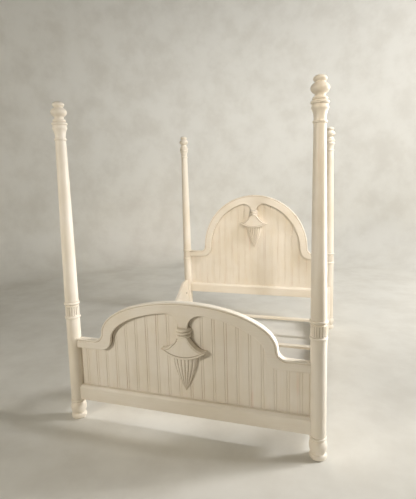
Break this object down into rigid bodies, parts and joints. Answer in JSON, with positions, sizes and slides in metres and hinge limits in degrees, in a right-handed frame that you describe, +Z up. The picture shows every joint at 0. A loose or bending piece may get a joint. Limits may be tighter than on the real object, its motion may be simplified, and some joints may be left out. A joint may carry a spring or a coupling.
{
  "type": "dolls house four poster bed",
  "caption": "Miniature cream painted four poster bed with turned posts, arched beadboard headboard and footboard with carved pendants, scrolled side rails and loose slats.",
  "frame": {"origin": "on the floor, midway between the four posts", "axes": "+X to the right seen from the foot end, +Y from foot to head, +Z up"},
  "size_m": [0.1384, 0.186, 0.1718],
  "materials": {
    "cream_paint": "satin cream paint over wood, lightly worn",
    "bare_wood": "unpainted, sanded",
    "steel": "dull, slightly aged"
  },
  "bodies": {
    "bed_frame": {"foot_left_bun_foot": "cream_paint", "foot_left_lower_post": "cream_paint", "foot_left_upper_post": "cream_paint", "foot_left_post_dowel": "bare_wood", "foot_right_bun_foot": "cream_paint", "foot_right_lower_post": "cream_paint", "foot_right_upper_post": "cream_paint", "foot_right_post_dowel": "bare_wood", "head_left_bun_foot": "cream_paint", "head_left_lower_post": "cream_paint", "head_left_upper_post": "cream_paint", "head_left_post_dowel": "bare_wood", "head_right_bun_foot": "cream_paint", "head_right_lower_post": "cream_paint", "head_right_upper_post": "cream_paint", "head_right_post_dowel": "bare_wood", "footboard_crest": "cream_paint", "footboard_panel": "cream_paint", "footboard_bottom_rail": "cream_paint", "footboard_pendant_cap": "cream_paint", "footboard_pendant_drop": "cream_paint", "footboard_rail_dowel_left": "bare_wood", "footboard_crest_dowel_left": "bare_wood", "footboard_rail_dowel_right": "bare_wood", "footboard_crest_dowel_right": "bare_wood", "headboard_crest": "cream_paint", "headboard_panel": "cream_paint", "headboard_bottom_rail": "cream_paint", "headboard_pendant_cap": "cream_paint", "headboard_pendant_drop": "cream_paint", "headboard_rail_dowel_left": "bare_wood", "headboard_crest_dowel_left": "bare_wood", "headboard_rail_dowel_right": "bare_wood", "headboard_crest_dowel_right": "bare_wood", "left_side_rail": "cream_paint", "left_ledger": "bare_wood", "foot_left_rail_bolt": "steel", "foot_left_rail_nut": "steel", "head_left_rail_bolt": "steel", "head_left_rail_nut": "steel", "right_side_rail": "cream_paint", "right_ledger": "bare_wood", "foot_right_rail_bolt": "steel", "foot_right_rail_nut": "steel", "head_right_rail_bolt": "steel", "head_right_rail_nut": "steel"},
    "slat_foot": {"slat_foot": "cream_paint"},
    "slat_middle": {"slat_middle": "cream_paint"},
    "slat_head": {"slat_head": "cream_paint"},
    "foot_left_finial": {"foot_left_finial": "cream_paint"},
    "foot_right_finial": {"foot_right_finial": "cream_paint"},
    "head_left_finial": {"head_left_finial": "cream_paint"},
    "head_right_finial": {"head_right_finial": "cream_paint"}
  },
  "joints": [
    {"name": "slat_foot_lift", "type": "slide", "parent": "bed_frame", "child": "slat_foot", "axis": [0, 0, 1], "range_m": [0, 0.04]},
    {"name": "slat_middle_lift", "type": "slide", "parent": "bed_frame", "child": "slat_middle", "axis": [0, 0, 1], "range_m": [0, 0.04]},
    {"name": "slat_head_lift", "type": "slide", "parent": "bed_frame", "child": "slat_head", "axis": [0, 0, 1], "range_m": [0, 0.04]},
    {"name": "foot_left_finial_lift", "type": "slide", "parent": "bed_frame", "child": "foot_left_finial", "axis": [0, 0, 1], "range_m": [0, 0.012]},
    {"name": "foot_right_finial_lift", "type": "slide", "parent": "bed_frame", "child": "foot_right_finial", "axis": [0, 0, 1], "range_m": [0, 0.012]},
    {"name": "head_left_finial_lift", "type": "slide", "parent": "bed_frame", "child": "head_left_finial", "axis": [0, 0, 1], "range_m": [0, 0.012]},
    {"name": "head_right_finial_lift", "type": "slide", "parent": "bed_frame", "child": "head_right_finial", "axis": [0, 0, 1], "range_m": [0, 0.012]}
  ]
}
